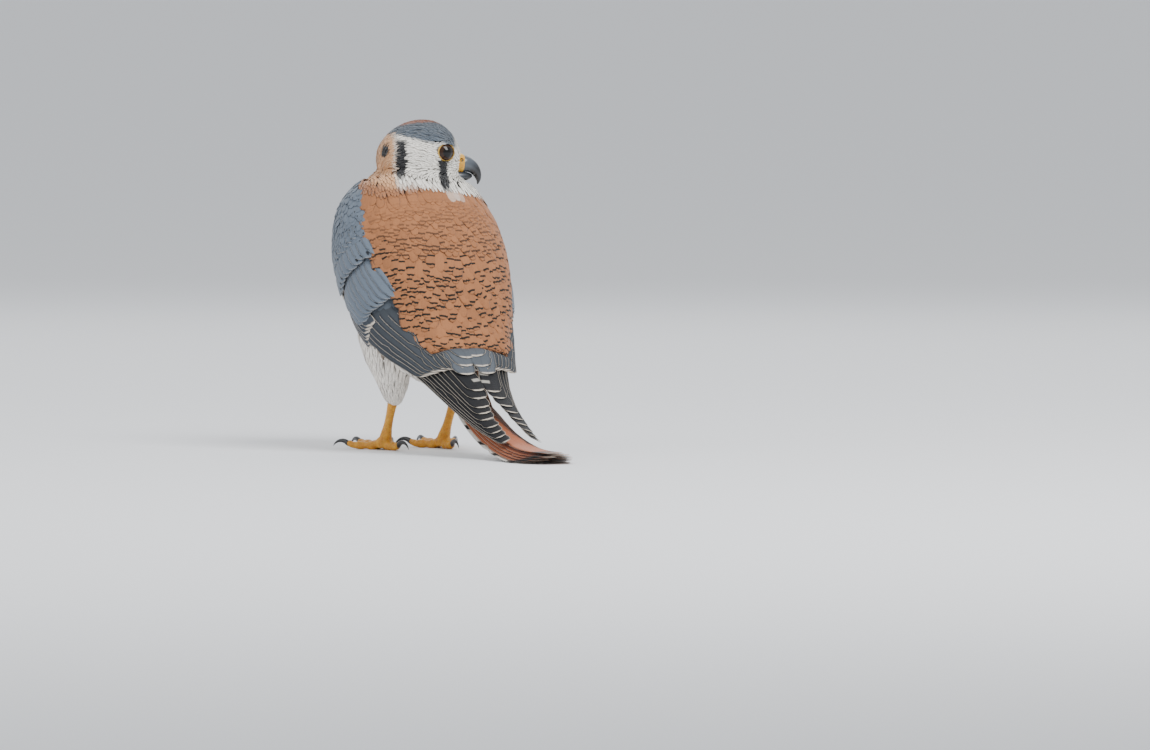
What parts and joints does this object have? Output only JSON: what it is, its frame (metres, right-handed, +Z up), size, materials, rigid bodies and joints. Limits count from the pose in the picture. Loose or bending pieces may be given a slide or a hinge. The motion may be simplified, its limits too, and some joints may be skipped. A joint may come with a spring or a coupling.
{
  "type": "american kestrel",
  "caption": "Life-size still model of an adult male American kestrel, upright, wings folded, head turned to its right, tail laid along the floor.",
  "frame": {"origin": "middle of the bird's bounding box, on the floor that it stands on", "axes": "+Z up, -Y the way its breast faces, +X its own left side, +Y along its tail"},
  "size_m": [0.0786, 0.173, 0.1416],
  "materials": {
    "crown_feather": "short soft blue-grey feathers with black and white face marks",
    "breast_feather": "soft buff contour feathers with small dark spots",
    "back_feather": "smooth rufous contour feathers with black bars",
    "wing_feather": "close blue-grey coverts with black spots and near-black flight feathers",
    "tail_feather": "rufous vanes with a black band and pale tips",
    "thigh_feather": "loose off-white feathers",
    "horn": "smooth blue-black horn, paler at the base",
    "cere_skin": "waxy bare orange-yellow skin",
    "leg_skin": "small-scaled orange-yellow skin",
    "claw_horn": "polished black horn",
    "eye": "wet, very dark brown"
  },
  "bodies": {
    "root": {"head": "crown_feather", "neck": "breast_feather", "torso": "back_feather", "tail": "tail_feather", "cere": "cere_skin", "bill_upper": "horn", "bill_lower": "horn", "wing_left": "wing_feather", "thigh_left": "thigh_feather", "tarsus_left": "leg_skin", "foot_left": "leg_skin", "eye_left": "eye", "claw_left_inner": "claw_horn", "claw_left_middle": "claw_horn", "claw_left_outer": "claw_horn", "claw_left_hind": "claw_horn", "wing_right": "wing_feather", "thigh_right": "thigh_feather", "tarsus_right": "leg_skin", "foot_right": "leg_skin", "eye_right": "eye", "claw_right_inner": "claw_horn", "claw_right_middle": "claw_horn", "claw_right_outer": "claw_horn", "claw_right_hind": "claw_horn"}
  },
  "joints": []
}
